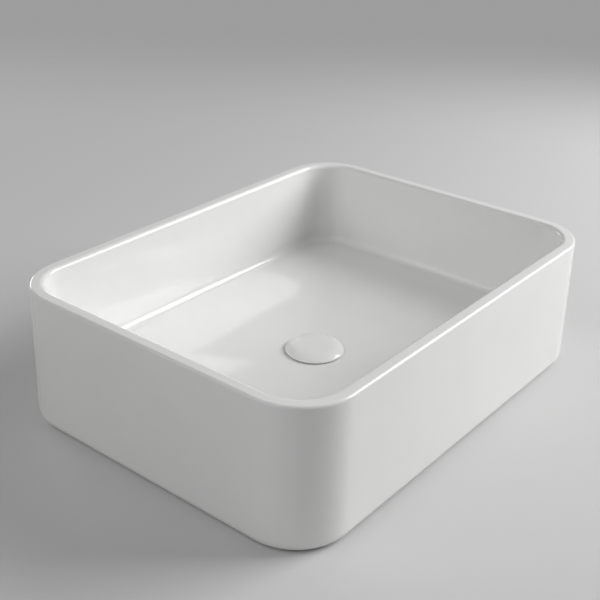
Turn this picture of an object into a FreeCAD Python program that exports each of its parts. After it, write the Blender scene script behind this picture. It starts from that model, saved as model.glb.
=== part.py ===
"""Countertop basin with a click-clack waste, as a parametric document in millimetres.

The origin is the middle of the foot, on the countertop's surface: +X is the basin's width,
-Y its front and +Z is up. The waste hangs through the countertop, so it reaches below z = 0.
"""
import FreeCAD, Part
import math
import os
import Sketcher

doc = FreeCAD.newDocument("countertop_basin")

DRIVING_SIZES = {
    # glazed basin
    "basin_width": 500,
    "basin_depth": 375,
    "basin_height": 145,
    "corner_radius": 58,
    "rim_width": 14,
    "rim_edge_radius": 3.8,
    "inner_wall_slope": 2,
    "floor_fillet": 9,
    "floor_fall": 10.5,
    "dish_radius": 150,
    "floor_thickness": 11,
    "foot_edge_radius": 11,
    "foot_ring_width": 22,
    "foot_recess": 22.9,
    "recess_fillet": 8,
    "clamp_pad_radius": 36,
    "drain_hole_radius": 23,
    # flanged waste body
    "flange_radius": 28.5,
    "flange_thickness": 2.4,
    "flange_edge_chamfer": 0.8,
    "flange_clearance": 0.6,
    "seal_thickness": 1.6,
    "tail_radius": 20.955,
    "waste_length": 90,
    "nut_thread_length": 32,
    "tail_groove_width": 3,
    "tail_groove_depth": 1.2,
    "tail_chamfer": 1.5,
    "bore_radius": 18,
    "rib_width": 3,
    "spider_height": 7,
    "hub_radius": 8,
    # clamping stack under the floor
    "thread_clearance": 0.15,
    "gasket_radius": 30,
    "gasket_taper": 3,
    "gasket_height": 6,
    "washer_radius": 29,
    "washer_thickness": 2,
    "nut_across_flats": 52,
    "nut_height": 8,
    # cartridge
    "cartridge_radius": 8.5,
    "cartridge_floor": 3,
    "stud_radius": 4,
    "stud_length": 12,
    "jam_nut_across_flats": 13,
    "jam_nut_height": 4,
    "spring_bore_radius": 5.8,
    "ring_bore_radius": 6.4,
    "spring_wire": 0.9,
    "spring_length": 12,
    "bush_depth": 3,
    "bush_flange": 1.2,
    "running_fit": 0.1,
    "clearance": 0.3,
    # index ring and plunger
    "ring_height": 4,
    "ring_end_play": 0.2,
    "lug_radius": 0.75,
    "lug_reach": 0.8,
    "ring_turn_per_mm": 4.5,
    "rise": 9,
    "over_travel": 1,
    "plunger_radius": 4,
    "collar_height": 2,
    "pilot_length": 4,
    "tip_radius": 2.5,
    "tip_length": 5,
    # cap
    "cap_radius": 31.3,
    "cap_gap": 1.4,
    "cap_edge_height": 3,
    "cap_dome": 3.8,
    "cap_edge_radius": 2.8,
    "cap_roof": 3.2,
    "carrier_radius": 26,
    "carrier_thickness": 2.2,
    "boss_height": 6,
    "spigot_wall": 3.5,
    "boss_radius": 7,
    "seal_ring_width": 2.4,
    "seal_ring_height": 2,
    "seal_ring_lip": 1,
}

dims = doc.addObject("Spreadsheet::Sheet", "dims")
for row, (alias, value) in enumerate(DRIVING_SIZES.items(), start=1):
    dims.set("A%d" % row, alias)
    dims.set("B%d" % row, str(value))
    dims.setAlias("B%d" % row, alias)
doc.recompute()


def size(text):
    """Turns a formula of aliases into one that any object of the document can use."""
    words = text.replace("(", " ( ").replace(")", " ) ").split()
    return " ".join("dims." + word if word in DRIVING_SIZES else word for word in words)


def value(text):
    """The number that a formula of aliases gives now."""
    return float(dims.evalExpression(size(text)))


# Levels over the foot plane, each a formula of the driving sizes. The cap hangs over the drain's
# floor, and the click cartridge is stacked downwards from the cap to the spider that carries it.
DRAIN_FLOOR = "( foot_recess + floor_thickness )"
FLOOR_EDGE = "( %s + floor_fall )" % DRAIN_FLOOR
SEAT = "( %s - flange_thickness - seal_thickness )" % DRAIN_FLOOR
WASTE_FOOT = "( %s - waste_length )" % DRAIN_FLOOR
SEAL_RING_FOOT = "( %s - flange_edge_chamfer - seal_ring_height )" % DRAIN_FLOOR
CAP_FOOT = "( %s + cap_gap )" % DRAIN_FLOOR
CARRIER_TOP = "( %s + cap_edge_height + cap_dome - cap_roof )" % CAP_FOOT
CARRIER_FOOT = "( %s - carrier_thickness )" % CARRIER_TOP
PLUNGER_TOP = "( %s - boss_height )" % CARRIER_FOOT
CARTRIDGE_TOP = "( %s - clearance - over_travel - bush_flange )" % PLUNGER_TOP
BUSH_FOOT = "( %s - bush_depth )" % CARTRIDGE_TOP
RING_FOOT = "( %s - ring_end_play - ring_height )" % BUSH_FOOT
RING_SHOULDER = "( %s - ring_end_play )" % RING_FOOT
COLLAR_FOOT = "( %s - clearance - rise - collar_height )" % RING_SHOULDER
SPRING_FOOT = "( %s - spring_length )" % COLLAR_FOOT
SPIDER_TOP = "( %s - cartridge_floor )" % SPRING_FOOT


def origin_plane(body, role):
    return next(plane for plane in body.Origin.OriginFeatures if plane.Role == role)


def new_body(name, level):
    """An empty body whose own zero lies at the given level."""
    body = doc.addObject("PartDesign::Body", name)
    body.Label = name
    body.setExpression("Placement.Base.z", size(level))
    return body


def new_sketch(body, name, role, lift="0"):
    sketch = body.newObject("Sketcher::SketchObject", name)
    sketch.AttachmentSupport = (origin_plane(body, role), [""])
    sketch.MapMode = "FlatFace"
    sketch.setExpression("AttachmentOffset.Base.z", size(lift))
    return sketch


def pin_point(sketch, line, which, axis_distance, number):
    """Ties one end of a line to the sketch's axes by formulas for its two coordinates."""
    for kind, letter, axis, formula in zip(("DistanceX", "DistanceY"), "xy", (-2, -1), axis_distance):
        if formula == "0":
            sketch.addConstraint(Sketcher.Constraint("PointOnObject", line, which, axis))
            continue
        index = sketch.addConstraint(Sketcher.Constraint(kind, -1, 1, line, which, value(formula)))
        sketch.renameConstraint(index, "%s%d" % (letter, number))
        sketch.setExpression("Constraints.%s%d" % (letter, number), size(formula))


def closed_profile(sketch, corners, dome=None):
    """Draws a closed outline through corners given as formulas; the dome side is an arc about the axis."""
    points = [FreeCAD.Vector(value(x), value(y), 0) for x, y in corners]
    for number, start in enumerate(points):
        end = points[(number + 1) % len(points)]
        if number == dome:
            radius = (start.x ** 2 + (end.y - start.y) ** 2) / (2 * (end.y - start.y))
            centre = FreeCAD.Vector(0, end.y - radius, 0)
            first = math.atan2(start.y - centre.y, start.x)
            circle = Part.Circle(centre, FreeCAD.Vector(0, 0, 1), radius)
            sketch.addGeometry(Part.ArcOfCircle(circle, first, math.pi / 2))
            sketch.addConstraint(Sketcher.Constraint("PointOnObject", number, 3, -2))
        else:
            sketch.addGeometry(Part.LineSegment(start, end))
    for number in range(len(points)):
        following = (number + 1) % len(points)
        sketch.addConstraint(Sketcher.Constraint("Coincident", number, 2, following, 1))
        pin_point(sketch, number, 1, corners[number], number)


def turned(name, level, corners, dome=None):
    """A body turned about Z from a half section of (radius, height over its own zero) corners."""
    body = new_body(name, level)
    sketch = new_sketch(body, name + "_section", "XZ_Plane")
    closed_profile(sketch, corners, dome)
    revolution = body.newObject("PartDesign::Revolution", name + "_turned")
    revolution.Profile = sketch
    revolution.ReferenceAxis = (sketch, ["V_Axis"])
    revolution.Angle = 360
    doc.recompute()
    return body


def ring(name, level, inner, outer, height):
    """A plain flat ring."""
    return turned(name, level, [(inner, "0"), (outer, "0"), (outer, height), (inner, height)])


def rounded_rectangle(sketch, width, depth, radius):
    """A centred rectangle with round corners, sized by formulas."""
    half_x = value(width) / 2
    half_y = value(depth) / 2
    round_ = value(radius)
    in_x = half_x - round_
    in_y = half_y - round_
    up = FreeCAD.Vector(0, 0, 1)
    sides = [((-in_x, -half_y), (in_x, -half_y)), ((half_x, -in_y), (half_x, in_y)),
             ((in_x, half_y), (-in_x, half_y)), ((-half_x, in_y), (-half_x, -in_y))]
    centres = [(in_x, -in_y), (in_x, in_y), (-in_x, in_y), (-in_x, -in_y)]
    for (start, end) in sides:
        sketch.addGeometry(Part.LineSegment(FreeCAD.Vector(*start, 0), FreeCAD.Vector(*end, 0)))
    for number, centre in enumerate(centres):
        circle = Part.Circle(FreeCAD.Vector(*centre, 0), up, round_)
        first = (number - 1) * math.pi / 2
        sketch.addGeometry(Part.ArcOfCircle(circle, first, first + math.pi / 2))
    for number in range(4):
        corner = 4 + number
        sketch.addConstraint(Sketcher.Constraint("Tangent", number, 2, corner, 1))
        sketch.addConstraint(Sketcher.Constraint("Tangent", corner, 2, (number + 1) % 4, 1))
        if number:
            sketch.addConstraint(Sketcher.Constraint("Equal", 4, corner))
    sketch.addConstraint(Sketcher.Constraint("Horizontal", 0))
    sketch.addConstraint(Sketcher.Constraint("Vertical", 1))
    sketch.addConstraint(Sketcher.Constraint("Symmetric", 0, 1, 2, 1, -1, 1))
    sketch.addConstraint(Sketcher.Constraint("Symmetric", 1, 1, 3, 1, -1, 1))
    for name, formula, constraint in (
            ("width", width, Sketcher.Constraint("DistanceX", 3, 1, 1, 1, value(width))),
            ("depth", depth, Sketcher.Constraint("DistanceY", 0, 1, 2, 1, value(depth))),
            ("round", radius, Sketcher.Constraint("Radius", 4, value(radius)))):
        index = sketch.addConstraint(constraint)
        sketch.renameConstraint(index, name)
        sketch.setExpression("Constraints." + name, size(formula))


def level_edges(feature, level, beyond):
    """Names of the edges that lie flat at one level of the body's own frame and reach beyond a radius."""
    near = 0.01
    names = []
    for number, edge in enumerate(feature.Shape.Edges, start=1):
        box = edge.BoundBox
        reach = max(abs(box.XMin), abs(box.XMax), abs(box.YMin), abs(box.YMax))
        if abs(box.ZMin - level) < near and abs(box.ZMax - level) < near and reach > beyond + near:
            names.append("Edge%d" % number)
    return names


def round_edges(body, name, level, radius, beyond="0"):
    """Rounds every edge of the body that lies flat at a level, beyond a radius about Z."""
    base = body.Tip
    fillet = body.newObject("PartDesign::Fillet", name)
    fillet.Base = (base, level_edges(base, value(level), value(beyond)))
    fillet.setExpression("Radius", size(radius))
    doc.recompute()
    return fillet


def cut_cylinder(body, name, foot, radius, height):
    """Drills a round hole about Z from the level foot up."""
    hole = body.newObject("PartDesign::SubtractiveCylinder", name)
    hole.setExpression("Radius", size(radius))
    hole.setExpression("Height", size(height))
    hole.setExpression("Placement.Base.z", size(foot))
    doc.recompute()
    return hole


def make_basin_bowl():
    """Slip-cast basin: thin upright walls on a foot ring, a floor that falls to the drain."""
    body = new_body("basin_bowl", "0")

    block = new_sketch(body, "outer_outline", "XY_Plane")
    rounded_rectangle(block, "basin_width", "basin_depth", "corner_radius")
    pad = body.newObject("PartDesign::Pad", "outer_block")
    pad.Profile = block
    pad.setExpression("Length", size("basin_height"))

    mouth = new_sketch(body, "mouth_outline", "XY_Plane", "basin_height")
    rounded_rectangle(mouth, "basin_width - 2 * rim_width", "basin_depth - 2 * rim_width",
                      "corner_radius - rim_width")
    cavity = body.newObject("PartDesign::Pocket", "cavity")
    cavity.Profile = mouth
    cavity.setExpression("Length", size("basin_height - " + FLOOR_EDGE))
    cavity.setExpression("TaperAngle", size("0 - inner_wall_slope"))
    doc.recompute()
    round_edges(body, "floor_round", FLOOR_EDGE, "floor_fillet")
    round_edges(body, "rim_round", "basin_height", "rim_edge_radius")
    round_edges(body, "foot_round", "0", "foot_edge_radius")

    under = new_sketch(body, "recess_outline", "XY_Plane")
    rounded_rectangle(under, "basin_width - 2 * foot_ring_width", "basin_depth - 2 * foot_ring_width",
                      "corner_radius - foot_ring_width")
    recess = body.newObject("PartDesign::Pocket", "recess")
    recess.Profile = under
    recess.Reversed = True
    recess.setExpression("Length", size("foot_recess + floor_fall"))
    doc.recompute()
    round_edges(body, "recess_round", "foot_recess + floor_fall", "recess_fillet")

    flange_room = "flange_radius + flange_clearance"
    for name, kind, foot, inner in (
            ("fall_underneath", "AdditiveCone", "foot_recess", "clamp_pad_radius"),
            ("fall_to_drain", "SubtractiveCone", DRAIN_FLOOR, flange_room)):
        cone = body.newObject("PartDesign::" + kind, name)
        cone.setExpression("Radius1", size(inner))
        cone.setExpression("Radius2", size("dish_radius"))
        cone.setExpression("Height", size("floor_fall"))
        cone.setExpression("Placement.Base.z", size(foot))
        doc.recompute()
    cut_cylinder(body, "flange_seat", SEAT, flange_room, "flange_thickness + seal_thickness")
    cut_cylinder(body, "drain_hole", "foot_recess", "drain_hole_radius", "floor_thickness")
    return body


def make_waste_body():
    """Flanged brass waste: a threaded tail with a four-armed spider across its bore."""
    flange_foot = "( waste_length - flange_thickness )"
    groove_top = "( %s - nut_thread_length )" % flange_foot
    groove_foot = "( %s - tail_groove_width )" % groove_top
    groove_radius = "tail_radius - tail_groove_depth"
    body = turned("waste_body", WASTE_FOOT, [
        ("bore_radius", "0"),
        ("tail_radius - tail_chamfer", "0"),
        ("tail_radius", "tail_chamfer"),
        ("tail_radius", groove_foot),
        (groove_radius, groove_foot),
        (groove_radius, groove_top),
        ("tail_radius", groove_top),
        ("tail_radius", flange_foot),
        ("flange_radius", flange_foot),
        ("flange_radius", "waste_length - flange_edge_chamfer"),
        ("flange_radius - flange_edge_chamfer", "waste_length"),
        ("bore_radius + flange_edge_chamfer", "waste_length"),
        ("bore_radius", "waste_length - flange_edge_chamfer"),
    ])
    spider_foot = "%s - spider_height - %s" % (SPIDER_TOP, WASTE_FOOT)
    arm_end = "( bore_radius + tail_radius ) / 2"
    for name, along, across in (("arm_x", "Length", "Width"), ("arm_y", "Width", "Length")):
        arm = body.newObject("PartDesign::AdditiveBox", name)
        arm.setExpression(along, size("2 * " + arm_end))
        arm.setExpression(across, size("rib_width"))
        arm.setExpression("Height", size("spider_height"))
        lengthwise = "x" if along == "Length" else "y"
        crosswise = "y" if along == "Length" else "x"
        arm.setExpression("Placement.Base." + lengthwise, size("0 - %s" % arm_end))
        arm.setExpression("Placement.Base." + crosswise, size("0 - rib_width / 2"))
        arm.setExpression("Placement.Base.z", size(spider_foot))
        doc.recompute()
    hub = body.newObject("PartDesign::AdditiveCylinder", "hub")
    hub.setExpression("Radius", size("hub_radius"))
    hub.setExpression("Height", size("spider_height"))
    hub.setExpression("Placement.Base.z", size(spider_foot))
    doc.recompute()
    cut_cylinder(body, "hub_hole", spider_foot, "stud_radius + thread_clearance", "spider_height")
    return body


def make_hex_nut(name, level, across_flats, height, hole):
    """A hexagon nut, its hole clear of the thread that it runs on."""
    body = new_body(name, level)
    prism = body.newObject("PartDesign::AdditivePrism", name + "_hexagon")
    prism.Polygon = 6
    prism.setExpression("Circumradius", size("%s / 3 ^ 0.5" % across_flats))
    prism.setExpression("Height", size(height))
    doc.recompute()
    cut_cylinder(body, name + "_hole", "0", hole, height)
    return body


def make_clamping_stack():
    """Seal under the flange, and the tapered gasket, slip washer and back nut below the floor."""
    tail_hole = "tail_radius + thread_clearance"
    ring("flange_seal", SEAT, tail_hole, "flange_radius", "seal_thickness")
    turned("under_gasket", "foot_recess - gasket_height", [
        (tail_hole, "0"),
        ("gasket_radius - gasket_taper", "0"),
        ("gasket_radius", "gasket_taper"),
        ("gasket_radius", "gasket_height"),
        (tail_hole, "gasket_height"),
    ])
    washer_foot = "foot_recess - gasket_height - washer_thickness"
    ring("slip_washer", washer_foot, tail_hole, "washer_radius", "washer_thickness")
    make_hex_nut("back_nut", washer_foot + " - nut_height", "nut_across_flats", "nut_height", tail_hole)


def make_cartridge():
    """Click cartridge on the spider: housing with its stud and jam nut, guide bush and spring."""
    stud_end = "( %s - stud_length )" % SPIDER_TOP
    spring_foot = "stud_length + cartridge_floor"
    shoulder = "%s - %s" % (RING_SHOULDER, stud_end)
    top = "%s - %s" % (CARTRIDGE_TOP, stud_end)
    turned("cartridge_housing", stud_end, [
        ("0", "0"),
        ("stud_radius", "0"),
        ("stud_radius", "stud_length"),
        ("cartridge_radius", "stud_length"),
        ("cartridge_radius", top),
        ("ring_bore_radius", top),
        ("ring_bore_radius", shoulder),
        ("spring_bore_radius", shoulder),
        ("spring_bore_radius", spring_foot),
        ("0", spring_foot),
    ])
    make_hex_nut("jam_nut", SPIDER_TOP + " - spider_height - jam_nut_height", "jam_nut_across_flats",
                 "jam_nut_height", "stud_radius + thread_clearance")
    turned("guide_bush", BUSH_FOOT, [
        ("plunger_radius + running_fit", "0"),
        ("ring_bore_radius - running_fit", "0"),
        ("ring_bore_radius - running_fit", "bush_depth"),
        ("cartridge_radius", "bush_depth"),
        ("cartridge_radius", "bush_depth + bush_flange"),
        ("plunger_radius + running_fit", "bush_depth + bush_flange"),
    ])
    spring_outer = "spring_bore_radius - clearance"
    ring("lift_spring", SPRING_FOOT, spring_outer + " - spring_wire", spring_outer, "spring_length")


def make_index_ring():
    """Latch ring between the cartridge's shoulder and the bush, with two lugs in the plunger's tracks."""
    inner = "plunger_radius + clearance"
    outer = "ring_bore_radius - clearance"
    body = ring("index_ring", RING_FOOT, inner, outer, "ring_height")
    for name, side in (("lug_right", 1), ("lug_left", -1)):
        lug = body.newObject("PartDesign::AdditiveCylinder", name)
        lug.setExpression("Radius", size("lug_radius"))
        lug.setExpression("Height", size("( ring_bore_radius - plunger_radius ) / 2 + lug_reach"))
        reach = value("plunger_radius - lug_reach")
        place = FreeCAD.Vector(side * reach, 0, value("ring_height / 2"))
        lug.Placement = FreeCAD.Placement(place, FreeCAD.Rotation(FreeCAD.Vector(0, 1, 0), side * 90))
        doc.recompute()
    return body


def make_plunger():
    """Plunger: spring pilot and collar, a rod with two slanted tracks and a tip for the cap."""
    collar = "pilot_length + collar_height"
    rod_top = "%s - %s + pilot_length" % (PLUNGER_TOP, COLLAR_FOOT)
    pilot = "spring_bore_radius - 2 * clearance - spring_wire"
    body = turned("plunger", "%s - pilot_length" % COLLAR_FOOT, [
        ("0", "0"),
        (pilot, "0"),
        (pilot, "pilot_length"),
        ("spring_bore_radius - clearance", "pilot_length"),
        ("spring_bore_radius - clearance", collar),
        ("plunger_radius", collar),
        ("plunger_radius", rod_top),
        ("tip_radius", rod_top),
        ("tip_radius", rod_top + " + tip_length"),
        ("0", rod_top + " + tip_length"),
    ])
    # A track is straight: it crosses the plunger's side at the slant of the ring's turn per rise.
    track_radius = value("plunger_radius - lug_reach / 2")
    slant = math.atan(track_radius * math.radians(value("ring_turn_per_mm")))
    side_room = value("lug_radius + 1.5 * clearance")
    half_length = (value("rise + over_travel") / 2 + side_room) / math.cos(slant)
    middle_rise = value("rise - over_travel") / 2
    middle_turn = value("ring_turn_per_mm") * middle_rise
    lug_level = value("%s + ring_height / 2 - %s + pilot_length" % (RING_FOOT, COLLAR_FOOT))
    track_floor = value("plunger_radius - lug_reach - 3 * clearance")
    for name, turn in (("track_right", 0), ("track_left", 180)):
        track = body.newObject("PartDesign::SubtractiveBox", name)
        track.Length = value("plunger_radius")
        track.Width = 2 * side_room
        track.Height = 2 * half_length
        corner = FreeCAD.Placement(FreeCAD.Vector(track_floor, -side_room, -half_length), FreeCAD.Rotation())
        tilt = FreeCAD.Rotation(FreeCAD.Vector(1, 0, 0), math.degrees(slant))
        spin = FreeCAD.Rotation(FreeCAD.Vector(0, 0, 1), turn + middle_turn)
        centre = FreeCAD.Vector(0, 0, lug_level - middle_rise)
        track.Placement = FreeCAD.Placement(centre, spin * tilt) * corner
        doc.recompute()
    return body


def make_cap():
    """Ceramic cap on a brass carrier, whose spigot holds the seal ring inside the waste's bore."""
    cover = turned("cap_cover", CAP_FOOT, [
        ("carrier_radius + clearance", "0"),
        ("cap_radius", "0"),
        ("cap_radius", "cap_edge_height"),
        ("0", "cap_edge_height + cap_dome"),
        ("0", "cap_edge_height + cap_dome - cap_roof"),
        ("carrier_radius + clearance", "cap_edge_height + cap_dome - cap_roof"),
    ], dome=2)
    round_edges(cover, "cap_edge_round", "cap_edge_height", "cap_edge_radius", "carrier_radius + clearance")

    spigot = "bore_radius - 2 * clearance - seal_ring_lip"
    groove = "bore_radius - clearance - seal_ring_width"
    disc_foot = "%s - %s" % (CARRIER_FOOT, PLUNGER_TOP)
    groove_foot = "%s - %s" % (SEAL_RING_FOOT, PLUNGER_TOP)
    groove_top = groove_foot + " + seal_ring_height"
    spigot_foot = groove_foot + " - seal_ring_lip"
    turned("cap_carrier", PLUNGER_TOP, [
        ("tip_radius + thread_clearance", "0"),
        ("boss_radius", "0"),
        ("boss_radius", disc_foot),
        (spigot + " - spigot_wall", disc_foot),
        (spigot + " - spigot_wall", spigot_foot),
        (spigot, spigot_foot),
        (spigot, groove_foot),
        (groove, groove_foot),
        (groove, groove_top),
        (spigot, groove_top),
        (spigot, disc_foot),
        ("carrier_radius", disc_foot),
        ("carrier_radius", disc_foot + " + carrier_thickness"),
        ("0", disc_foot + " + carrier_thickness"),
        ("0", "tip_length + clearance"),
        ("tip_radius + thread_clearance", "tip_length + clearance"),
    ])
    ring("cap_seal", SEAL_RING_FOOT, groove, "bore_radius - clearance", "seal_ring_height")


make_basin_bowl()
make_waste_body()
make_clamping_stack()
make_cartridge()
make_index_ring()
make_plunger()
make_cap()
doc.recompute()

for thing in doc.Objects:
    if "Invalid" in thing.State or "Error" in thing.State:
        raise RuntimeError("%s failed: %s" % (thing.Name, thing.State))
bodies = [thing for thing in doc.Objects if thing.TypeId == "PartDesign::Body"]
for body in bodies:
    if body.Shape.isNull() or not body.Shape.isValid() or len(body.Shape.Solids) != 1:
        raise RuntimeError("%s is not one sound solid" % body.Label)

os.makedirs("parts", exist_ok=True)
for body in bodies:
    body.Shape.exportStep(os.path.join("parts", body.Label + ".step"))
    box = body.Shape.optimalBoundingBox()
    print("%-18s %10.1f mm3  z %7.2f to %7.2f  x %7.2f y %7.2f"
          % (body.Label, body.Shape.Volume, box.ZMin, box.ZMax, box.XLength, box.YLength))
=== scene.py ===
import math

import bmesh
import bpy
from mathutils import Matrix, Vector


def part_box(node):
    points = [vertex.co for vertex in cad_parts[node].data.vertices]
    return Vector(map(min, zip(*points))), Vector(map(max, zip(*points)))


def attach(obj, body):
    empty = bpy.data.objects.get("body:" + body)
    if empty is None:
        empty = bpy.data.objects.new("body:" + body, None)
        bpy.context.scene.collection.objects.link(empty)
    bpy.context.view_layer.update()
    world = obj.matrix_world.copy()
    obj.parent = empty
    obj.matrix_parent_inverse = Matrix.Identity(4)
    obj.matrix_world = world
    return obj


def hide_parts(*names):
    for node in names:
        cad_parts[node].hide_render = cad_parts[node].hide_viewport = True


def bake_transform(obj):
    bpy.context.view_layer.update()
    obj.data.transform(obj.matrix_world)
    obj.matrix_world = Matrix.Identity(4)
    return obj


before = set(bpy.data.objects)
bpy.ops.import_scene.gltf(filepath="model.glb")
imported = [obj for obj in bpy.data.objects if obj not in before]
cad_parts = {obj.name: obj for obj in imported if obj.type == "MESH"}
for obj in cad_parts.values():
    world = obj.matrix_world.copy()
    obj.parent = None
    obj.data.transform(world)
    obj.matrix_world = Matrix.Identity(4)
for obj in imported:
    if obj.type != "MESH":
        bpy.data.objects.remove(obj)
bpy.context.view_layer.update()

# Basin: one slip-cast vitreous china casting with upright walls, a thin flat rim and a foot ring.
# It is glazed white all over and fired, then the foot is ground flat and left bare.
# The section of its wall, floor and underside runs round a rectangle with round corners.
BOWL_LOW, BOWL_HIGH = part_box("basin_bowl")
CORNER_RADIUS = 0.058
RIM_WIDTH = 0.014
RIM_OUTER_EDGE = 0.0028
RIM_INNER_EDGE = 0.0048
WALL_SLOPE = math.radians(2)
FLOOR_EDGE = 0.0444
FLOOR_FILLET = 0.009
FLOOR_EASE = 0.6
DRAIN_FLOOR = 0.0339
FOOT_EDGE = 0.011
FOOT_RING = 0.022
FOOT_INNER_EDGE = 0.0015
RECESS_CEILING = 0.0334
RECESS_FILLET = 0.008
CLAMP_PAD = 0.0229
CLAMP_PAD_RADIUS = 0.036
DRAIN_HOLE_RADIUS = 0.023
SEAT_RADIUS = 0.0291
SEAT_LEVEL = 0.0299
GLAZED_EDGE = 0.0007
BARE_CLAY_TOP = 0.0004
GLAZE_FOOT = 0.0008
GLAZE_IOR = 1.52
POINTS_ROUND_THE_BOWL = 400
POINTS_ROUND_A_CORNER = 48
FLOOR_ROWS = 22
SEAM_GAP = 1e-6
SLIVER_WIDTH = 1e-7
SHARP_ANGLE = math.radians(32)


def rounded_outline(corners, steps=14, support=0.0005):
    """Points along a line whose corners, (x, y, radius), are arcs, with a support by each end."""
    points = []
    for number, (x, y, radius) in enumerate(corners):
        here = Vector((x, y))
        if radius == 0 or number in (0, len(corners) - 1):
            points.append(here)
            continue
        back = (Vector(corners[number - 1][:2]) - here).normalized()
        ahead = (Vector(corners[number + 1][:2]) - here).normalized()
        half = back.angle(ahead) / 2
        centre = here + (back + ahead).normalized() * radius / math.sin(half)
        start = here + back * radius / math.tan(half)
        end = here + ahead * radius / math.tan(half)
        points.append(start + back * support)
        sweep = (start - centre).angle_signed(end - centre)
        for step in range(steps + 1):
            turn = Matrix.Rotation(-sweep * step / steps, 2)
            points.append(centre + turn @ (start - centre))
        points.append(end + ahead * support)
    return points


def fall_share(share):
    """How far the floor has fallen at a share of the way in; it starts level at the wall."""
    return FLOOR_EASE * share * share * (3 - 2 * share) + (1 - FLOOR_EASE) * share * share


def bowl_section():
    """Rows of (inset from the outline, radius about the drain, height, share of roundness)."""
    top = BOWL_HIGH.z
    inner_foot = RIM_WIDTH + (top - FLOOR_EDGE) * math.tan(WALL_SLOPE)
    floor_inset = inner_foot + FLOOR_FILLET
    ceiling_inset = FOOT_RING + RECESS_FILLET
    drain_ring = SEAT_RADIUS + 2 * GLAZED_EDGE
    wall = rounded_outline([
        (floor_inset, FLOOR_EDGE, 0),
        (inner_foot, FLOOR_EDGE, FLOOR_FILLET),
        (RIM_WIDTH, top, RIM_INNER_EDGE),
        (0, top, RIM_OUTER_EDGE),
        (0, 0, FOOT_EDGE),
        (FOOT_RING, 0, FOOT_INNER_EDGE),
        (FOOT_RING, RECESS_CEILING, RECESS_FILLET),
        (ceiling_inset, RECESS_CEILING, 0),
    ])
    rows = [(point.x, 0, point.y, 0) for point in wall]
    for row in range(1, FLOOR_ROWS + 1):
        share = row / FLOOR_ROWS
        height = RECESS_CEILING + (CLAMP_PAD - RECESS_CEILING) * fall_share(share)
        rows.append((ceiling_inset, CLAMP_PAD_RADIUS, height, share))
    hole = rounded_outline([
        (CLAMP_PAD_RADIUS, CLAMP_PAD, 0),
        (DRAIN_HOLE_RADIUS, CLAMP_PAD, GLAZED_EDGE),
        (DRAIN_HOLE_RADIUS, SEAT_LEVEL, GLAZED_EDGE),
        (SEAT_RADIUS, SEAT_LEVEL, GLAZED_EDGE),
        (SEAT_RADIUS, DRAIN_FLOOR, GLAZED_EDGE),
        (drain_ring, DRAIN_FLOOR, 0),
    ], steps=4, support=0.0002)
    rows += [(ceiling_inset, point.x, point.y, 1) for point in hole[1:]]
    for row in range(FLOOR_ROWS - 1, 0, -1):
        share = row / FLOOR_ROWS
        height = FLOOR_EDGE + (DRAIN_FLOOR - FLOOR_EDGE) * fall_share(share)
        rows.append((floor_inset, drain_ring, height, share))
    rows.append(rows[0])
    return rows


def section_line(name, places, attribute, shares):
    """A bent line through the places of a section, with one more value at each."""
    mesh = bpy.data.meshes.new(name + "_section")
    mesh.from_pydata(places, [(number, number + 1) for number in range(len(places) - 1)], [])
    values = mesh.attributes.new(attribute, "FLOAT", "POINT")
    values.data.foreach_set("value", shares)
    return mesh


def new_tree(name, inputs):
    """An empty Geometry Nodes tree with named inputs; returns it with its two end nodes."""
    tree = bpy.data.node_groups.new(name, "GeometryNodeTree")
    tree.interface.new_socket("Geometry", in_out="INPUT", socket_type="NodeSocketGeometry")
    for label, kind in inputs.items():
        tree.interface.new_socket(label, in_out="INPUT", socket_type=kind)
    tree.interface.new_socket("Geometry", in_out="OUTPUT", socket_type="NodeSocketGeometry")
    return tree, tree.nodes.new("NodeGroupInput"), tree.nodes.new("NodeGroupOutput")


def add_node(tree, kind, inputs=None, **settings):
    """A node with its settings made and its inputs, by name or place, set or linked."""
    node = tree.nodes.new(kind)
    for label, setting in settings.items():
        setattr(node, label, setting)
    for label, source in (inputs or {}).items():
        if isinstance(source, bpy.types.NodeSocket):
            tree.links.new(source, node.inputs[label])
        else:
            node.inputs[label].default_value = source
    return node


def maths(tree, operation, *values):
    """The result of a sum over sockets and numbers."""
    node = add_node(tree, "ShaderNodeMath", dict(enumerate(values)), operation=operation)
    return node.outputs[0]


def vectors(tree, operation, inputs):
    """The vector that a sum over vectors gives."""
    return add_node(tree, "ShaderNodeVectorMath", inputs, operation=operation).outputs[0]


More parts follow.
